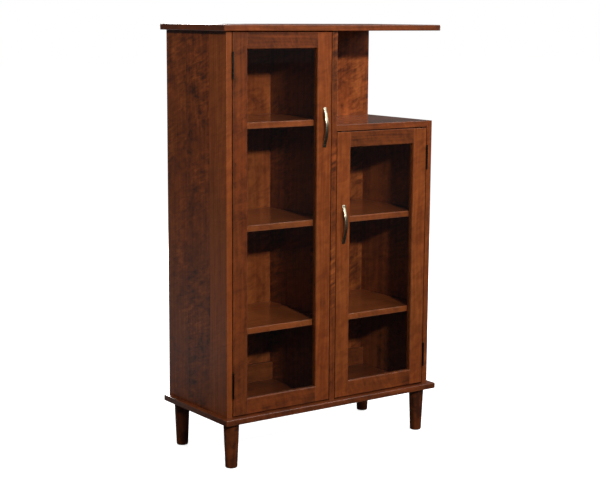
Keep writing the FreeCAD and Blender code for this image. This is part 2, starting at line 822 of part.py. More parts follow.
# ---------------------------------------------------------------- assembly
def case_parts():
    """Everything that stands still."""
    parts = {
        "top_slab": top_slab(),
        "base_slab": base_slab(),
        "left_side_panel": left_side_panel(),
        "divider_panel": divider_panel(),
        "right_side_panel": right_side_panel(),
        "short_top_panel": short_top_panel(),
        "tall_back_panel": tall_back_panel(),
        "right_back_panel": right_back_panel(),
        "tall_back_rail": back_rail(left_in, divider_left),
        "short_back_rail": back_rail(divider_right, right_in),
        "shelf_pins": shelf_pins(),
        "leg_hanger_bolts": hanger_bolts(),
        "leg_threaded_inserts": threaded_inserts(),
        "case_dowels": Part.makeCompound([dowel(joint) for joint in all_dowels]),
        "back_panel_screws": back_screws(),
        "catch_magnets": catch_magnets(),
    }
    for name, top in zip(("lower", "middle", "upper"), tall_shelf_tops):
        parts["tall_%s_shelf" % name] = shelf(left_in, divider_left, top)
    for name, top in zip(("lower", "upper"), short_shelf_tops):
        parts["short_%s_shelf" % name] = shelf(divider_right, right_in, top)
    for name, centre in leg_centres().items():
        parts[name] = leg(centre)
    for label, door in (("tall", tall), ("short", short)):
        parts["%s_catch_housing" % label] = catch_housing(door)
        for place, z in door.hinges.items():
            parts["%s_%s_hinge_case_leaf" % (label, place)] = leaf(door, z, door.side, 0)
    parts["hinge_pins"] = Part.makeCompound(
        [hinge_pin(door, z) for door in (tall, short) for z in door.hinges.values()])
    parts["hinge_case_screws"] = Part.makeCompound(
        [driven(p, d, hinge_screw_length) for p, d in case_hinge_places()])
    parts["catch_screws"] = Part.makeCompound(
        [driven(p, d, catch_screw_length) for door in (tall, short)
         for p, d in catch_screw_places(door)])
    return parts


def door_parts(label, door):
    """Everything that swings with one door."""
    parts = {
        "%s_door_hinge_stile" % label: door_stile(door, door.side),
        "%s_door_handle_stile" % label: door_stile(door, -door.side),
        "%s_door_top_rail" % label: door_rail(door, "top"),
        "%s_door_bottom_rail" % label: door_rail(door, "bottom"),
        "%s_door_glass" % label: glass(door),
        "%s_door_glass_stops" % label: glass_stops(door),
        "%s_door_handle" % label: handle(door),
        "%s_door_handle_screws" % label: handle_screws(door),
        "%s_door_strike_plate" % label: strike_plate(door),
        "%s_door_strike_screw" % label: driven(strike_screw_place(door), toward_front,
                                               strike_screw_length),
        "%s_door_hinge_screws" % label: Part.makeCompound(
            [driven(p, d, hinge_screw_length) for p, d in hinge_places(door, -door.side)]),
    }
    for place, z in door.hinges.items():
        parts["%s_%s_hinge_door_leaf" % (label, place)] = leaf(door, z, -door.side, 1)
    return parts


def main():
    """Builds every sub-part and writes one STEP file for each."""
    os.makedirs("parts", exist_ok=True)
    parts = case_parts()
    parts.update(door_parts("tall", tall))
    parts.update(door_parts("short", short))
    for name, shape in parts.items():
        if not shape.isValid():
            raise ValueError("%s is not a valid shape" % name)
        shape.exportStep("parts/%s.step" % name)
    print("%d sub-parts, %d solids" % (len(parts), sum(len(s.Solids) for s in parts.values())))


main()
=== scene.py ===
import math
import random

import bmesh
import bpy
from mathutils import Matrix, Vector


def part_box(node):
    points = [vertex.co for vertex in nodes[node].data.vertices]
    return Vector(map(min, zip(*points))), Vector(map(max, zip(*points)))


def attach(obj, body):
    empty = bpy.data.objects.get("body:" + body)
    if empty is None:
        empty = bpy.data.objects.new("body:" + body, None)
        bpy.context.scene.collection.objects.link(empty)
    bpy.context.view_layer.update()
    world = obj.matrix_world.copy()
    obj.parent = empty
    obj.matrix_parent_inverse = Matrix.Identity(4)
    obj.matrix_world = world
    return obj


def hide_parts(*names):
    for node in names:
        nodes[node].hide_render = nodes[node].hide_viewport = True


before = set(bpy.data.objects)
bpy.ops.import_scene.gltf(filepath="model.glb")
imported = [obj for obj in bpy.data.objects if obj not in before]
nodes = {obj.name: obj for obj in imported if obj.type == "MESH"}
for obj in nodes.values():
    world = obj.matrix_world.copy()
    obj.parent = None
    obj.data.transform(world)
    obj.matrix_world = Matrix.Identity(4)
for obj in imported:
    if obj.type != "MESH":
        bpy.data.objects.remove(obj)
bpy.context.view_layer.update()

SEED = 7

# Camera: where it stands in metres, and how it is turned in degrees.
CAMERA_PLACE = Vector((-2.6106, -3.6498, 1.3476))
CAMERA_YAW = 35.482
CAMERA_PITCH = 9.333
CAMERA_ROLL = 0.345
CAMERA_LENS = 86.092
SENSOR_WIDTH = 36.0

# World: brightness where it is seen, where it lights, and where it is mirrored
WORLD_SEEN = 1.0
WORLD_LIGHT = 0.035
WORLD_MIRRORED = 0.085

# Floor, in metres
FLOOR_HALF = 30.0
FLOOR_DROP = 0.0006
# The floor that is seen glows, and more so farther out, until it is as white as the world.
FLOOR_SEEN = 0.82
FLOOR_GLOW_NEAR = 0.74
FLOOR_GLOW_FAR = 1.0
FLOOR_GLOW_FROM = 0.5
FLOOR_GLOW_TO = 3.0
# What it bounces as light, and what it shows in reflections: nearby, behind the case, and far away
FLOOR_BOUNCE = 0.16
FLOOR_MIRRORED = 0.010
FLOOR_BEHIND = 0.38
BEHIND_FROM = 0.2
BEHIND_TO = 1.1
FLOOR_FAR_GLOW = 0.05
FAR_FROM = 1.5
FAR_TO = 6.0

# name: (place, point it faces, side, power, spread in degrees)
SOFTBOXES = {
    "left_key": ((-0.85, -3.80, 2.30), (0.10, 0.00, 1.30), 0.20, 33.0, 90.0),
    "right_key": ((1.00, -2.60, 3.00), (0.00, 0.00, 0.90), 0.30, 20.0, 180.0),
    "front_box": ((2.04, -2.92, 2.72), (0.00, 0.00, 0.70), 2.20, 30.0, 180.0),
    "edge_box": ((1.90, -0.30, 3.30), (0.00, 0.00, 0.70), 1.20, 28.0, 180.0),
    "left_fill": ((-2.60, -0.10, 2.95), (-0.39, 0.00, 1.10), 0.50, 9.0, 90.0),
    "right_fill": ((3.90, 1.00, 2.00), (0.00, 0.00, 0.70), 1.60, 75.0, 180.0),
    "back_fill": ((1.10, 3.90, 1.80), (0.00, 0.00, 0.70), 1.80, 120.0, 180.0),
}

# Glass: the share of light that it mirrors when seen straight on, and its tones
GLASS_FACING = 0.045
GLASS_CLEAN = (0.988, 0.994, 0.991, 1.0)
GLASS_SMEARED = (0.972, 0.982, 0.978, 1.0)
GLASS_MIRROR = (0.70, 0.71, 0.70, 1.0)

# Wood tones, linear
CHERRY_DARK = (0.046, 0.0125, 0.0052, 1.0)
CHERRY_MID = (0.168, 0.0385, 0.0090, 1.0)
CHERRY_LIGHT = (0.315, 0.0810, 0.0185, 1.0)
# The edge tones paint the eased edges lighter: partly rubbed wear, partly a painted highlight.
CHERRY_EDGE_WEAR_AND_HIGHLIGHT = (0.480, 0.2000, 0.1000, 1.0)
SHELF_EDGE_WEAR_AND_HIGHLIGHT = (0.680, 0.3700, 0.2400, 1.0)
BEECH_DARK = (0.420, 0.270, 0.150, 1.0)
BEECH_MID = (0.560, 0.390, 0.230, 1.0)
BEECH_LIGHT = (0.680, 0.500, 0.320, 1.0)
# The stain takes redder and browner from place to place.
STAIN_REDDER = (1.10, 0.92, 0.86, 1.0)
STAIN_BROWNER = (0.92, 1.08, 1.10, 1.0)

# Wood figure: features per metre across, across and along the grain
WANDER = (3.0, 3.0, 1.1)
RING_JITTER = (22.0, 22.0, 2.2)
STREAKS = (62.0, 62.0, 2.6)
FIBRES = (340.0, 340.0, 11.0)
PORES = (1300.0, 1300.0, 55.0)
BLOTCHES = (15.0, 15.0, 8.0)
FLAMES = (12.0, 12.0, 21.0)
CURLS = (18.0, 18.0, 88.0)
MOTTLES = (40.0, 40.0, 62.0)
CURL_AREAS = (7.0, 7.0, 4.5)
HUE_PATCHES = (9.0, 9.0, 3.0)
# How far the grain wanders from end to end of its noise, in metres
WANDER_REACH = (0.050, 0.050, 0.0)
# Where a piece may lie from the pith, across, across and along, in metres
PITH_PLACE = ((0.16, 0.30), (0.03, 0.12), (-5.0, 5.0))
# Growth rings: radians of phase per metre from the pith, and how far the jitter moves the phase
RING_PITCH = 430.0
RING_SHIFT = 28.0
RING_SHARPNESS = 1.6
# How ripples and flames are turned from the grain, in radians
FIGURE_SLANT = (0.32, 0.40, 0.0)
# How far each feature moves the tone, which runs from 0, dark, to 1, light
STREAK_TONE = 0.62
FIBRE_TONE = 0.20
RING_TONE = 0.10
BLOTCH_TONE = 0.95
MOTTLE_TONE = 0.52
FLAME_DARKER = -0.16
FLAME_LIGHTER = 0.03
CURL_TONE = 1.35
PORE_TONE = 0.13

# Boards of one panel, at level 1 against level 0: how far apart in the grain, in metres, and how
# much lighter. Level 0 has BOARD_FIGURE times the figure and its tone moves by BOARD_DARKEST.
BOARDS_APART = (0.37, 0.53, 3.1)
BOARD_CONTRAST = 0.28
BOARD_DARKEST = -0.11
BOARD_FIGURE = 1.30

# Lacquered wood surface
WOOD_ROUGHNESS = 0.36
WOOD_SPECULAR = 0.16
LACQUER_ROUGHNESS = 0.17
LACQUER_IOR = 1.46
END_GRAIN_STAIN = 0.42

# Radius of the eased edges on metal, in metres
METAL_EASE = 0.0006

# Metal and plastic tones, linear
BRONZE_DARK = (0.010, 0.009, 0.008, 1.0)
BRONZE_LIGHT = (0.034, 0.029, 0.024, 1.0)
BRONZE_RUBBED = (0.140, 0.100, 0.070, 1.0)
ZINC_DARK = (0.42, 0.42, 0.40, 1.0)
ZINC_LIGHT = (0.66, 0.66, 0.63, 1.0)
INSERT_DARK = (0.46, 0.31, 0.11, 1.0)
INSERT_LIGHT = (0.72, 0.53, 0.24, 1.0)
NICKEL_DARK = (0.50, 0.49, 0.46, 1.0)
NICKEL_LIGHT = (0.70, 0.69, 0.66, 1.0)
BRASS_DARK = (0.30, 0.26, 0.16, 1.0)
BRASS_LIGHT = (0.62, 0.56, 0.41, 1.0)
BRASS_RUBBED = (0.78, 0.70, 0.50, 1.0)
PLASTIC_DARK = (0.050, 0.026, 0.016, 1.0)
PLASTIC_LIGHT = (0.085, 0.046, 0.028, 1.0)


# ------------------------------------------------------------------ mesh and node helpers
def mesh_object(name, form):
    """A new object in the scene, made from a bmesh."""
    mesh = bpy.data.meshes.new(name)
    form.to_mesh(mesh)
    form.free()
    thing = bpy.data.objects.new(name, mesh)
    bpy.context.scene.collection.objects.link(thing)
    return thing


def add(tree, kind, **settings):
    """A new shader node with its properties set."""
    node = tree.nodes.new(kind)
    for name, value in settings.items():
        setattr(node, name, value)
    return node


def feed(tree, socket, value):
    """Links value to the socket if it is a socket, and otherwise sets it."""
    if isinstance(value, bpy.types.NodeSocket):
        tree.links.new(value, socket)
    else:
        socket.default_value = value


def maths(tree, operation, a, b=None, c=None, clamp=False):
    """A Math node's result."""
    node = add(tree, "ShaderNodeMath", operation=operation, use_clamp=clamp)
    for socket, value in zip(node.inputs, (a, b, c)):
        if value is not None:
            feed(tree, socket, value)
    return node.outputs[0]


def vector_maths(tree, operation, a, b=None):
    """A Vector Math node."""
    node = add(tree, "ShaderNodeVectorMath", operation=operation)
    feed(tree, node.inputs[0], a)
    if b is not None:
        feed(tree, node.inputs[1], b)
    return node


def noise(tree, vector, stretch, detail=2.0, rough=0.5, distort=0.0):
    """Noise whose scale is set for each axis, in features per metre."""
    scaled = vector_maths(tree, "MULTIPLY", vector, stretch).outputs[0]
    node = add(tree, "ShaderNodeTexNoise")
    feed(tree, node.inputs["Vector"], scaled)
    node.inputs["Scale"].default_value = 1.0
    node.inputs["Detail"].default_value = detail
    node.inputs["Roughness"].default_value = rough
    node.inputs["Distortion"].default_value = distort
    return node


def remap(tree, value, low, high, to_low=0.0, to_high=1.0, smooth=False):
    """value, moved from one range to another and held inside it."""
    node = add(tree, "ShaderNodeMapRange", clamp=True)
    if smooth:
        node.interpolation_type = "SMOOTHSTEP"
    feed(tree, node.inputs["Value"], value)
    node.inputs["From Min"].default_value = low
    node.inputs["From Max"].default_value = high
    node.inputs["To Min"].default_value = to_low
    node.inputs["To Max"].default_value = to_high
    return node.outputs["Result"]


def steps(tree, factor, stops):
    """A colour ramp that holds each stop's colour up to the next stop."""
    node = add(tree, "ShaderNodeValToRGB")
    elements = node.color_ramp.elements
    while len(elements) < len(stops):
        elements.new(0.5)
    node.color_ramp.interpolation = "CONSTANT"
    for element, (place, colour) in zip(elements, stops):
        element.position = place
        element.color = colour
    feed(tree, node.inputs["Fac"], factor)
    return node.outputs["Color"]


def mix_colours(tree, factor, a, b, blend="MIX"):
    """Two colours mixed: sockets 6 and 7 and output 2 are the Mix node's colour ones."""
    node = add(tree, "ShaderNodeMix", data_type="RGBA", blend_type=blend)
    feed(tree, node.inputs[0], factor)
    feed(tree, node.inputs[6], a)
    feed(tree, node.inputs[7], b)
    return node.outputs[2]


def new_material(name):
    """A material with an empty node tree."""
    material = bpy.data.materials.new(name)
    material.use_nodes = True
    tree = material.node_tree
    tree.nodes.clear()
    return material, tree


def principled(tree, **values):
    """A Principled shader, wired to the output, with constants on its own sockets."""
    shader = add(tree, "ShaderNodeBsdfPrincipled")
    for name, value in values.items():
        shader.inputs[name.replace("_", " ")].default_value = value
    output = add(tree, "ShaderNodeOutputMaterial")
    tree.links.new(shader.outputs[0], output.inputs["Surface"])
    return shader


def grey(value):
    """An opaque grey."""
    return (value, value, value, 1.0)


def axis_part(tree, vector, axis):
    """One part of a vector."""
    parts = add(tree, "ShaderNodeSeparateXYZ")
    feed(tree, parts.inputs[0], vector)
    return parts.outputs["xyz".index(axis)]


def eased_edges(tree, radius):
    """The normal that rounded edges would have, and how straight it stands on the face, up to 1."""
    eased = add(tree, "ShaderNodeBevel", samples=4)
    eased.inputs["Radius"].default_value = radius
    normal = add(tree, "ShaderNodeNewGeometry").outputs["Normal"]
    straight = vector_maths(tree, "DOT_PRODUCT", eased.outputs[0], normal).outputs["Value"]
    return eased.outputs[0], straight


def bumped(tree, height, strength, distance, normal=None):
    """A bumped normal."""
    bump = add(tree, "ShaderNodeBump")
    bump.inputs["Strength"].default_value = strength
    bump.inputs["Distance"].default_value = distance
    feed(tree, bump.inputs["Height"], height)
    if normal is not None:
        feed(tree, bump.inputs["Normal"], normal)
    return bump.outputs[0]


# ------------------------------------------------------------------ wood
def centre(tree, value, amount):
    """value about its middle of 0.5, times amount."""
    return maths(tree, "MULTIPLY", maths(tree, "SUBTRACT", value, 0.5), amount)


def wood_sockets(group):
    """What a board gives the grain group, and what it gets back."""
    face = group.interface
    face.new_socket("Place", in_out="INPUT", socket_type="NodeSocketVector")
    for name in ("Tone", "Curl", "Blotch"):
        face.new_socket(name, in_out="INPUT", socket_type="NodeSocketFloat")
    for name in ("Dark", "Mid", "Light"):
        face.new_socket(name, in_out="INPUT", socket_type="NodeSocketColor")
    face.new_socket("Color", in_out="OUTPUT", socket_type="NodeSocketColor")
    face.new_socket("Roughness", in_out="OUTPUT", socket_type="NodeSocketFloat")
    face.new_socket("Height", in_out="OUTPUT", socket_type="NodeSocketFloat")


def wandering(group, place):
    """place, moved so that the grain wanders off straight."""
    wander = noise(group, place, WANDER, 2.0, 0.5)
    centred = vector_maths(group, "SUBTRACT", wander.outputs["Color"], (0.5, 0.5, 0.5)).outputs[0]
    shift = vector_maths(group, "MULTIPLY", centred, WANDER_REACH).outputs[0]
    return vector_maths(group, "ADD", place, shift).outputs[0]


def growth_rings(group, bent):
    """Growth rings round a pith that lies outside the board, from 0 to 1."""
    flat = vector_maths(group, "MULTIPLY", bent, (1.0, 1.0, 0.0)).outputs[0]
    radius = vector_maths(group, "LENGTH", flat).outputs["Value"]
    jitter = noise(group, bent, RING_JITTER, 3.0, 0.5).outputs["Fac"]
    shift = maths(group, "MULTIPLY", jitter, RING_SHIFT)
    phase = maths(group, "MULTIPLY_ADD", radius, RING_PITCH, shift)
    rings = maths(group, "MULTIPLY_ADD", maths(group, "SINE", phase), 0.5, 0.5)
    return maths(group, "POWER", rings, RING_SHARPNESS)


def cross_figure(group, place):
    """Blotches with dark flames, and the curl, which lie across the grain at a slant."""
    turn = add(group, "ShaderNodeVectorRotate", rotation_type="EULER_XYZ")
    feed(group, turn.inputs["Vector"], place)
    turn.inputs["Rotation"].default_value = FIGURE_SLANT
    slanted = turn.outputs[0]
    blotch = noise(group, place, BLOTCHES, 5.0, 0.62, 0.8).outputs["Fac"]
    flame = noise(group, slanted, FLAMES, 3.0, 0.55, 1.4).outputs["Fac"]
    mottle = noise(group, slanted, MOTTLES, 3.0, 0.55, 1.0).outputs["Fac"]
    mottled = centre(group, mottle, MOTTLE_TONE)
    blotches = maths(group, "ADD", centre(group, blotch, BLOTCH_TONE), mottled)
    dark_flame = remap(group, flame, 0.36, 0.52, FLAME_DARKER, FLAME_LIGHTER, smooth=True)
    blotches = maths(group, "ADD", blotches, dark_flame)

    curl = noise(group, slanted, CURLS, 2.0, 0.55, 0.7).outputs["Fac"]
    area = noise(group, place, CURL_AREAS, 1.0, 0.5).outputs["Fac"]
    area = remap(group, area, 0.38, 0.58, 0.25, 1.0, smooth=True)
    curled = maths(group, "MULTIPLY", centre(group, curl, CURL_TONE), area)
    return blotch, blotches, curled


def stained(group, tone, start, place):
    """The stained colour for a tone from 0 to 1."""
    low = mix_colours(group, remap(group, tone, 0.0, 0.5), start.outputs["Dark"], start.outputs["Mid"])
    full = mix_colours(group, remap(group, tone, 0.5, 1.0), low, start.outputs["Light"])
    patches = noise(group, place, HUE_PATCHES, 2.0, 0.5).outputs["Fac"]
    tint = mix_colours(group, patches, STAIN_REDDER, STAIN_BROWNER)
    return mix_colours(group, 1.0, full, tint, "MULTIPLY")


def wood_group():
    """Grain for one board: the grain runs along Z of the vector that comes in, in metres."""
    group = bpy.data.node_groups.new("wood_grain", "ShaderNodeTree")
    wood_sockets(group)
    start = add(group, "NodeGroupInput")
    end = add(group, "NodeGroupOutput")
    place = start.outputs["Place"]
    bent = wandering(group, place)
    rings = growth_rings(group, bent)
    streak = noise(group, bent, STREAKS, 4.0, 0.62).outputs["Fac"]
    fibre = noise(group, bent, FIBRES, 3.0, 0.6).outputs["Fac"]
    pores = noise(group, bent, PORES, 2.0, 0.6).outputs["Fac"]
    blotch, blotches, curled = cross_figure(group, place)

    tone = maths(group, "ADD", start.outputs["Tone"], centre(group, streak, STREAK_TONE))
    tone = maths(group, "ADD", tone, centre(group, fibre, FIBRE_TONE))
    tone = maths(group, "ADD", tone, centre(group, rings, RING_TONE))
    for feature, amount in ((blotches, "Blotch"), (curled, "Curl")):
        tone = maths(group, "ADD", tone, maths(group, "MULTIPLY", feature, start.outputs[amount]))
    flecks = remap(group, pores, 0.60, 0.74, 0.0, PORE_TONE)
    tone = maths(group, "SUBTRACT", tone, flecks, clamp=True)

    rough = maths(group, "ADD", centre(group, fibre, 0.18), centre(group, blotch, 0.12))
    rough = maths(group, "ADD", rough, WOOD_ROUGHNESS)
    height = maths(group, "MULTIPLY_ADD", fibre, 0.6, maths(group, "MULTIPLY", pores, 0.4))
    feed(group, end.inputs["Color"], stained(group, tone, start, place))
    feed(group, end.inputs["Roughness"], rough)
    feed(group, end.inputs["Height"], height)
    return group


# Turns each grain direction onto Z.
GRAIN_TURN = {"x": (0.0, math.radians(-90.0), 0.0), "z": (0.0, 0.0, 0.0)}
AXIS_VECTOR = {"x": (1.0, 0.0, 0.0), "z": (0.0, 0.0, 1.0)}


def board_level(tree, place, across, start, end, joints):
    """A value from 0 to 1 for each board of a glued-up panel: joints holds (place, level) pairs."""
    along = remap(tree, axis_part(tree, place, across), start, end)
    return steps(tree, along, [(joint, grey(level)) for joint, level in joints])


def wood(name, group, axis, tone, curl=0.35, blotch=0.6, boards=None,
         tones=(CHERRY_DARK, CHERRY_MID, CHERRY_LIGHT), edge=CHERRY_EDGE_WEAR_AND_HIGHLIGHT, wear=0.45,
         ease=0.0013, gloss=0.32):
    """Stained and lacquered wood for one piece, with its own stretch of grain."""
    draw = random.Random(f"{SEED} {name}")
    material, tree = new_material(name)
    places = add(tree, "ShaderNodeTexCoord")
    place = places.outputs["Object"]
    mapping = add(tree, "ShaderNodeMapping")
    feed(tree, mapping.inputs["Vector"], place)
    mapping.inputs["Rotation"].default_value = GRAIN_TURN[axis]
    mapping.inputs["Location"].default_value = [draw.uniform(*span) for span in PITH_PLACE]
    at = mapping.outputs[0]
    if boards:
        # Each board has its own grain and tone, and the paler boards are the plainer ones.
        level = board_level(tree, place, *boards)
        apart = vector_maths(tree, "MULTIPLY", level, BOARDS_APART).outputs[0]
        at = vector_maths(tree, "ADD", at, apart).outputs[0]
        plainer = maths(tree, "SUBTRACT", BOARD_FIGURE, level)
        tone = maths(tree, "MULTIPLY_ADD", level, BOARD_CONTRAST, tone + BOARD_DARKEST)
        curl = maths(tree, "MULTIPLY", plainer, curl)
        blotch = maths(tree, "MULTIPLY", plainer, blotch)

    grain = add(tree, "ShaderNodeGroup", node_tree=group)
    feed(tree, grain.inputs["Place"], at)
    for socket, value in zip(("Tone", "Curl", "Blotch"), (tone, curl, blotch)):
        feed(tree, grain.inputs[socket], value)
    for socket, value in zip(("Dark", "Mid", "Light"), tones):
        feed(tree, grain.inputs[socket], value)

    # End grain drinks more stain.
    facing = vector_maths(tree, "DOT_PRODUCT", places.outputs["Normal"], AXIS_VECTOR[axis])
    end_grain = maths(tree, "ABSOLUTE", facing.outputs["Value"])
    end_grain = remap(tree, end_grain, 0.6, 0.95, 0.0, END_GRAIN_STAIN)
    colour = mix_colours(tree, end_grain, grain.outputs["Color"], tones[0])

    # Edges are eased by hand, and painted lighter in patches: partly rubbed wear, partly a painted
    # highlight along the eased edge.
    eased, straight = eased_edges(tree, ease)
    edge_lightening = noise(tree, place, (40.0, 40.0, 40.0), 2.0, 0.6).outputs["Fac"]
    lighter_edges = remap(tree, straight, 0.995, 0.90, 0.0, wear)
    lighter_edges = maths(tree, "MULTIPLY", lighter_edges, remap(tree, edge_lightening, 0.30, 0.62))
    colour = mix_colours(tree, lighter_edges, colour, edge)

    shader = principled(tree, Specular_IOR_Level=WOOD_SPECULAR, Coat_Weight=gloss,
                        Coat_Roughness=LACQUER_ROUGHNESS, Coat_IOR=LACQUER_IOR)
    feed(tree, shader.inputs["Base Color"], colour)
    feed(tree, shader.inputs["Roughness"], grain.outputs["Roughness"])
    feed(tree, shader.inputs["Normal"], bumped(tree, grain.outputs["Height"], 0.22, 0.00025, eased))
    feed(tree, shader.inputs["Coat Normal"], eased)
    return material


# ------------------------------------------------------------------ glass and metals
def clear_glass(name):
    """A clear pane: what is behind it shows straight, and it mirrors by its Fresnel share."""
    material, tree = new_material(name)
    place = add(tree, "ShaderNodeTexCoord").outputs["Object"]
    smear = noise(tree, place, (7.0, 7.0, 4.0), 3.0, 0.6, 0.8).outputs["Fac"]
    tint = mix_colours(tree, remap(tree, smear, 0.35, 0.70), GLASS_CLEAN, GLASS_SMEARED)
    through = add(tree, "ShaderNodeBsdfTransparent")
    feed(tree, through.inputs["Color"], tint)
    mirror = add(tree, "ShaderNodeBsdfGlossy")
    mirror.inputs["Color"].default_value = GLASS_MIRROR
    feed(tree, mirror.inputs["Roughness"], remap(tree, smear, 0.35, 0.75, 0.01, 0.05))
    # Schlick's Fresnel share, the same from both sides of a pane that doesn't bend light.
    grazing = maths(tree, "POWER", add(tree, "ShaderNodeLayerWeight").outputs["Facing"], 5.0)
    share = maths(tree, "MULTIPLY_ADD", grazing, 1.0 - GLASS_FACING, GLASS_FACING)
    both = add(tree, "ShaderNodeMixShader")
    feed(tree, both.inputs[0], share)
    feed(tree, both.inputs[1], through.outputs[0])
    feed(tree, both.inputs[2], mirror.outputs[0])
    output = add(tree, "ShaderNodeOutputMaterial")
    tree.links.new(both.outputs[0], output.inputs["Surface"])
    return material


def metal(name, dark, bright, rough, stretch, brushed=0.3, edge_lightening=0.5, edge=None, patina=1.0):
    """Metal with a patina: mottled tone, fine brushing lines, and edges rubbed bright."""
    material, tree = new_material(name)
    place = add(tree, "ShaderNodeTexCoord").outputs["Object"]
    clouds = noise(tree, place, (130.0, 130.0, 90.0), 3.0, 0.6, 0.4).outputs["Fac"]
    lines = noise(tree, place, stretch, 2.0, 0.6).outputs["Fac"]
    tone = maths(tree, "MULTIPLY_ADD", maths(tree, "SUBTRACT", clouds, 0.5), patina, 0.5)
    tone = maths(tree, "MULTIPLY_ADD", maths(tree, "SUBTRACT", lines, 0.5), brushed, tone, clamp=True)
    colour = mix_colours(tree, tone, dark, bright)
    eased, straight = eased_edges(tree, METAL_EASE)
    lighter_edges = remap(tree, straight, 0.995, 0.88, 0.0, edge_lightening)
    lighter_edges = maths(tree, "MULTIPLY", lighter_edges, remap(tree, clouds, 0.3, 0.6))
    colour = mix_colours(tree, lighter_edges, colour, edge or bright)
    shader = principled(tree, Metallic=1.0)
    feed(tree, shader.inputs["Base Color"], colour)
    feed(tree, shader.inputs["Roughness"], remap(tree, tone, 0.2, 0.8, rough + 0.08, rough - 0.06))
    feed(tree, shader.inputs["Normal"], bumped(tree, lines, 0.15, 0.0001, eased))
    return material


def moulded_plastic(name):
    """Brown moulded plastic with a fine spark-eroded grain."""
    material, tree = new_material(name)
    place = add(tree, "ShaderNodeTexCoord").outputs["Object"]
    grain = noise(tree, place, (1500.0, 1500.0, 1500.0), 2.0, 0.6).outputs["Fac"]
    clouds = noise(tree, place, (60.0, 60.0, 60.0), 2.0, 0.5).outputs["Fac"]
    shader = principled(tree, Specular_IOR_Level=0.5)
    feed(tree, shader.inputs["Base Color"], mix_colours(tree, clouds, PLASTIC_DARK, PLASTIC_LIGHT))
    feed(tree, shader.inputs["Roughness"], remap(tree, grain, 0.3, 0.7, 0.42, 0.58))
    feed(tree, shader.inputs["Normal"], bumped(tree, grain, 0.3, 0.0001))
    return material


# ------------------------------------------------------------------ finishes for the CAD nodes
# Where the boards of slabs and shelves start from front to back, and the level of each
SLAB_JOINTS = ((0.0, 0.30), (0.33, 0.65), (0.69, 0.15))


def dress(node, material):
    """Puts the material on every slot of a CAD node."""
    data = nodes[node].data
    for index in range(len(data.materials)):
        data.materials[index] = material


def dress_boards(group, node, grain, across, joints, **look):
    """A panel glued up from boards: joints says where each starts across the panel, and its level."""
    low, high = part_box(node)
    index = "xyz".index(across)
    boards = (across, low[index], high[index], joints)
    dress(node, wood(node + "_finish", group, grain, boards=boards, **look))


def dress_uprights(group):
    """Side panels, divider and backs."""
    dress_boards(group, "left_side_panel", "z", "y", ((0.0, 0.95), (0.275, 0.15), (0.66, 0.40)),
                 tone=0.48, curl=0.9, blotch=0.85)
    dress_boards(group, "divider_panel", "z", "y", ((0.0, 0.28), (0.33, 0.70), (0.70, 0.25)),
                 tone=0.46, curl=1.3, blotch=0.8)
    dress_boards(group, "right_side_panel", "z", "y", ((0.0, 0.50), (0.30, 0.20), (0.72, 0.65)),
                 tone=0.52, curl=0.7, blotch=0.9)
    dress_boards(group, "tall_back_panel", "z", "x", ((0.0, 0.45), (0.31, 0.20), (0.62, 0.60)),
                 tone=0.66, curl=1.0, blotch=1.5)
    dress_boards(group, "right_back_panel", "z", "x", ((0.0, 0.35), (0.29, 0.60), (0.66, 0.25)),
                 tone=0.64, curl=1.0, blotch=1.5)
    for node in ("tall_back_rail", "short_back_rail"):
        dress(node, wood(node + "_finish", group, "x", tone=0.46))


def dress_slabs(group):
    """Top, base and niche floor, which are glossier than the uprights."""
    looks = {
        # The slabs' edges are painted lighter than the default: rubbed wear and a painted highlight.
        "top_slab": dict(tone=0.43, blotch=0.7, wear=0.6, gloss=0.5),
        "base_slab": dict(tone=0.38, blotch=0.8, wear=0.7, gloss=0.8),
        "short_top_panel": dict(tone=0.50, blotch=0.6, gloss=0.9),
    }
    for node, look in looks.items():
        dress_boards(group, node, "x", "y", SLAB_JOINTS, curl=0.3, ease=0.0018, **look)


def dress_shelves(group):
    """Glossy shelves whose front edges are painted much lighter: rubbed wear and a painted highlight.
    """
    tones = {"tall_upper_shelf": 0.78, "tall_middle_shelf": 0.78, "tall_lower_shelf": 0.86,
             "short_upper_shelf": 0.78, "short_lower_shelf": 0.84}
    for node, tone in tones.items():
        dress_boards(group, node, "x", "y", SLAB_JOINTS, tone=tone, curl=0.5, blotch=0.7,
                     wear=0.95, ease=0.0030, gloss=0.9, edge=SHELF_EDGE_WEAR_AND_HIGHLIGHT)


def dress_doors(group):
    """Door frames and glass stops."""
    tones = {
        "tall_door_hinge_stile": 0.35, "tall_door_handle_stile": 0.60,
        "tall_door_top_rail": 0.25, "tall_door_bottom_rail": 0.41,
        "short_door_hinge_stile": 0.60, "short_door_handle_stile": 0.60,
        "short_door_top_rail": 0.33, "short_door_bottom_rail": 0.43,
        "tall_door_glass_stops": 0.46, "short_door_glass_stops": 0.46,
    }
    for node, tone in tones.items():
        if node.endswith("rail"):
            dress(node, wood(node + "_finish", group, "x", tone=tone, curl=0.35, blotch=0.8))
        else:
            dress(node, wood(node + "_finish", group, "z", tone=tone, curl=0.25, blotch=0.65))


def dress_legs(group):
    """Turned legs, a darker wood."""
    for node in ("front_left_leg", "front_right_leg", "back_left_leg", "back_right_leg"):
        dress(node, wood(node + "_finish", group, "z", tone=0.22, curl=0.3, blotch=0.8))


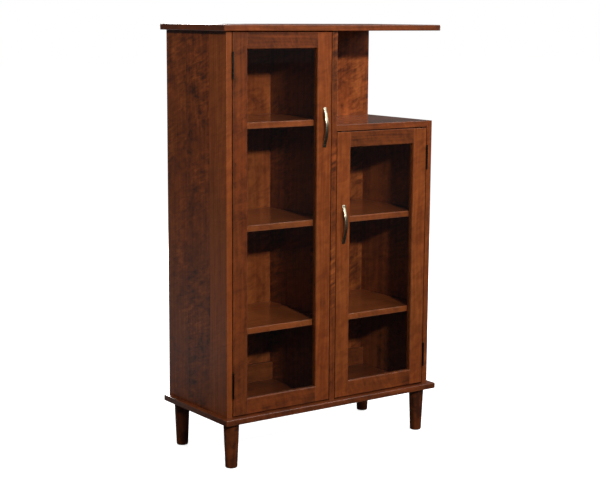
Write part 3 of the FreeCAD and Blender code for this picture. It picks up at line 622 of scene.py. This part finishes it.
def dress_hardware(group):
    """Glass, dowels, metal and plastic: these finishes go by the CAD material of each node."""
    finishes = {
        "clear_glass": clear_glass("pane_glass"),
        "hinge_bronze": metal("oiled_bronze", BRONZE_DARK, BRONZE_LIGHT, 0.40, (500.0, 500.0, 60.0),
                              edge=BRONZE_RUBBED),
        "fastener_steel": metal("zinc_steel", ZINC_DARK, ZINC_LIGHT, 0.34, (900.0, 900.0, 900.0)),
        "insert_brass": metal("insert_brass", INSERT_DARK, INSERT_LIGHT, 0.30, (900.0, 900.0, 300.0)),
        "magnet_steel": metal("nickel_plate", NICKEL_DARK, NICKEL_LIGHT, 0.26, (80.0, 900.0, 900.0)),
        "catch_plastic": moulded_plastic("moulded_brown"),
        "dowel_wood": wood("dowel_finish", group, "x", tone=0.5, curl=0.0, blotch=0.3,
                           tones=(BEECH_DARK, BEECH_MID, BEECH_LIGHT), edge=BEECH_LIGHT,
                           wear=0.2, gloss=0.0),
    }
    for node, thing in nodes.items():
        slots = {material.name for material in thing.data.materials}
        for slot, material in finishes.items():
            if slot in slots:
                dress(node, material)


# ------------------------------------------------------------------ bow handles
# Heights are measured from the handle's middle, and reaches from the face of the door stile.
HANDLE_HALF = 0.0610
FOOT_INNER = 0.0385
TOE_INNER = 0.0520
TOE_HEIGHT = 0.0048
TIP_HEIGHT = 0.0030
TIP_ROUND = 0.0025
TIP_DEPTH_LEFT = 0.12
TIP_WIDTH_LEFT = 0.55
BOW_REACH = 0.0170
STRAP = 0.0048
COLLAR_PLACE = 0.0524
COLLAR_SPREAD = 0.0008
COLLAR_PROUD = 0.0004
COLLAR_WIDER = 0.0003
MID_WIDTH = 0.0100
FOOT_WIDTH = 0.0117
STATIONS = 121
COLLAR_STATIONS = 8
RING = 32
# How square the strap's section is: 2 is an ellipse, and more is squarer.
FACE_SQUARENESS = 3.4
BACK_SQUARENESS = 5.0


def arc_height(z, half, low, high):
    """Height at z of the arc that rises from low at the ends to high in the middle."""
    rise = high - low
    radius = (half * half + rise * rise) / (2.0 * rise)
    return high - radius + math.sqrt(radius * radius - z * z)


def handle_profile(z):
    """Inner reach, outer reach and half width of the handle at height z."""
    away = abs(z)
    inner = 0.0
    if away < FOOT_INNER:
        inner = arc_height(z, FOOT_INNER, 0.0, BOW_REACH - STRAP)
    if away < TOE_INNER:
        outer = arc_height(z, TOE_INNER, TOE_HEIGHT, BOW_REACH)
    else:
        share = (HANDLE_HALF - away) / (HANDLE_HALF - TOE_INNER)
        outer = TIP_HEIGHT + (TOE_HEIGHT - TIP_HEIGHT) * share
    width = MID_WIDTH + (FOOT_WIDTH - MID_WIDTH) * min(1.0, away / FOOT_INNER) ** 2
    collar = math.exp(-((away - COLLAR_PLACE) / COLLAR_SPREAD) ** 2)
    outer += COLLAR_PROUD * collar
    width += COLLAR_WIDER * collar
    into_tip = max(0.0, away - (HANDLE_HALF - TIP_ROUND)) / TIP_ROUND
    rounding = math.sqrt(max(0.0, 1.0 - into_tip ** 2))
    outer *= TIP_DEPTH_LEFT + (1.0 - TIP_DEPTH_LEFT) * rounding
    width *= TIP_WIDTH_LEFT + (1.0 - TIP_WIDTH_LEFT) * rounding
    return inner, outer, width / 2.0


def station_heights():
    """Heights from end to end, closer together at the toes and the collars."""
    heights = []
    for number in range(STATIONS):
        share = number / (STATIONS - 1)
        heights.append(-HANDLE_HALF * math.cos(math.pi * share))
    for sign in (-1.0, 1.0):
        for number in range(-COLLAR_STATIONS, COLLAR_STATIONS + 1):
            heights.append(sign * (COLLAR_PLACE + number * COLLAR_SPREAD / 4.0))
    return sorted(set(round(height, 6) for height in heights))


def handle_section(z):
    """Outline of the handle at height z, as (across, reach) pairs."""
    inner, outer, half_width = handle_profile(z)
    middle = (inner + outer) / 2.0
    half_deep = (outer - inner) / 2.0
    outline = []
    for number in range(RING):
        angle = 2.0 * math.pi * number / RING
        across = math.cos(angle)
        out = math.sin(angle)
        power = 2.0 / (FACE_SQUARENESS if out > 0.0 else BACK_SQUARENESS)
        outline.append((math.copysign(abs(across) ** power, across) * half_width,
                        middle + math.copysign(abs(out) ** power, out) * half_deep))
    return outline


def bow_handle(side):
    """A cast bow handle: domed strap, a fine collar at each foot, rounded toes."""
    node = f"{side}_door_handle"
    low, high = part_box(node)
    centre_x = (low.x + high.x) / 2.0
    centre_z = (low.z + high.z) / 2.0
    form = bmesh.new()
    rings = []
    for z in station_heights():
        rings.append([form.verts.new((centre_x + across, high.y - reach, centre_z + z))
                      for across, reach in handle_section(z)])
    for lower, upper in zip(rings, rings[1:]):
        for number in range(RING):
            after = (number + 1) % RING
            form.faces.new((lower[number], lower[after], upper[after], upper[number]))
    form.faces.new(list(reversed(rings[0])))
    form.faces.new(rings[-1])
    bmesh.ops.recalc_face_normals(form, faces=form.faces)
    for face in form.faces:
        face.smooth = True
    return mesh_object(node + "_bow", form)


def make_handles():
    """Both handles, in an aged brass, on their doors."""
    brass = metal("antique_brass", BRASS_DARK, BRASS_LIGHT, 0.24, (1400.0, 1400.0, 70.0),
                  brushed=0.4, edge_lightening=0.6, edge=BRASS_RUBBED, patina=0.7)
    for side in ("tall", "short"):
        piece = bow_handle(side)
        piece.data.materials.append(brass)
        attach(piece, f"{side}_door")
        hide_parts(f"{side}_door_handle")


# ------------------------------------------------------------------ stage, light and camera
def make_world():
    """White to look at, dim as a light, so that the softboxes shape the object."""
    world = bpy.data.worlds.new("studio")
    bpy.context.scene.world = world
    world.use_nodes = True
    tree = world.node_tree
    tree.nodes.clear()
    background = add(tree, "ShaderNodeBackground")
    background.inputs["Color"].default_value = grey(1.0)
    path = add(tree, "ShaderNodeLightPath")
    unseen = remap(tree, path.outputs["Is Glossy Ray"], 0.0, 1.0, WORLD_LIGHT, WORLD_MIRRORED)
    strength = maths(tree, "MULTIPLY_ADD", path.outputs["Is Camera Ray"],
                     WORLD_SEEN - WORLD_LIGHT, unseen)
    feed(tree, background.inputs["Strength"], strength)
    output = add(tree, "ShaderNodeOutputWorld")
    tree.links.new(background.outputs[0], output.inputs["Surface"])


def floor_material():
    """Near white to the camera, a soft bounce as a light, and dark in reflections near the case."""
    material, tree = new_material("pale_floor")
    place = add(tree, "ShaderNodeTexCoord").outputs["Object"]
    distance = vector_maths(tree, "LENGTH", place).outputs["Value"]
    path = add(tree, "ShaderNodeLightPath")
    glow = remap(tree, distance, FLOOR_GLOW_FROM, FLOOR_GLOW_TO, FLOOR_GLOW_NEAR, FLOOR_GLOW_FAR,
                 smooth=True)
    glow = maths(tree, "MULTIPLY", glow, path.outputs["Is Camera Ray"])
    far = remap(tree, distance, FAR_FROM, FAR_TO, 0.0, FLOOR_FAR_GLOW, smooth=True)
    glow = maths(tree, "MULTIPLY_ADD", far, path.outputs["Is Glossy Ray"], glow)
    behind = remap(tree, axis_part(tree, place, "y"), BEHIND_FROM, BEHIND_TO)
    mirrored = mix_colours(tree, behind, grey(FLOOR_MIRRORED), grey(FLOOR_BEHIND))
    unseen = mix_colours(tree, path.outputs["Is Glossy Ray"], grey(FLOOR_BOUNCE), mirrored)
    colour = mix_colours(tree, path.outputs["Is Camera Ray"], unseen, grey(FLOOR_SEEN))
    shader = principled(tree, Roughness=0.8, Specular_IOR_Level=0.1)
    feed(tree, shader.inputs["Base Color"], colour)
    shader.inputs["Emission Color"].default_value = grey(1.0)
    feed(tree, shader.inputs["Emission Strength"], glow)
    return material


def make_floor():
    """A wide pale floor, a hair under the feet."""
    form = bmesh.new()
    corners = [form.verts.new((x * FLOOR_HALF, y * FLOOR_HALF, -FLOOR_DROP))
               for x, y in ((-1, -1), (1, -1), (1, 1), (-1, 1))]
    form.faces.new(corners)
    floor = mesh_object("floor", form)
    floor.data.materials.append(floor_material())


def make_lights():
    """Softboxes that face their points and that the camera doesn't see."""
    for name, (place, facing, side, power, spread) in SOFTBOXES.items():
        light = bpy.data.lights.new(name, "AREA")
        light.shape = "SQUARE"
        light.size = side
        light.energy = power
        light.spread = math.radians(spread)
        lamp = bpy.data.objects.new(name, light)
        lamp.location = place
        lamp.rotation_euler = (Vector(place) - Vector(facing)).to_track_quat("Z", "Y").to_euler()
        lamp.visible_camera = False
        bpy.context.scene.collection.objects.link(lamp)


def make_camera():
    """The camera, at its place and turned by yaw, pitch and roll."""
    yaw, pitch, roll = (math.radians(v) for v in (CAMERA_YAW, CAMERA_PITCH, CAMERA_ROLL))
    ahead = Vector((math.sin(yaw) * math.cos(pitch), math.cos(yaw) * math.cos(pitch),
                    -math.sin(pitch)))
    level = Vector((math.cos(yaw), -math.sin(yaw), 0.0))
    upright = level.cross(ahead)
    right = math.cos(roll) * level + math.sin(roll) * upright
    top = -math.sin(roll) * level + math.cos(roll) * upright
    data = bpy.data.cameras.new("camera")
    data.sensor_width = SENSOR_WIDTH
    data.lens = CAMERA_LENS
    camera = bpy.data.objects.new("camera", data)
    turned = Matrix((right, top, -ahead)).transposed().to_4x4()
    camera.matrix_world = Matrix.Translation(CAMERA_PLACE) @ turned
    bpy.context.scene.collection.objects.link(camera)
    bpy.context.scene.camera = camera


make_camera()
make_world()
make_floor()
make_lights()
grain_group = wood_group()
dress_uprights(grain_group)
dress_slabs(grain_group)
dress_shelves(grain_group)
dress_doors(grain_group)
dress_legs(grain_group)
dress_hardware(grain_group)
make_handles()
bpy.context.scene.view_settings.view_transform = "Standard"
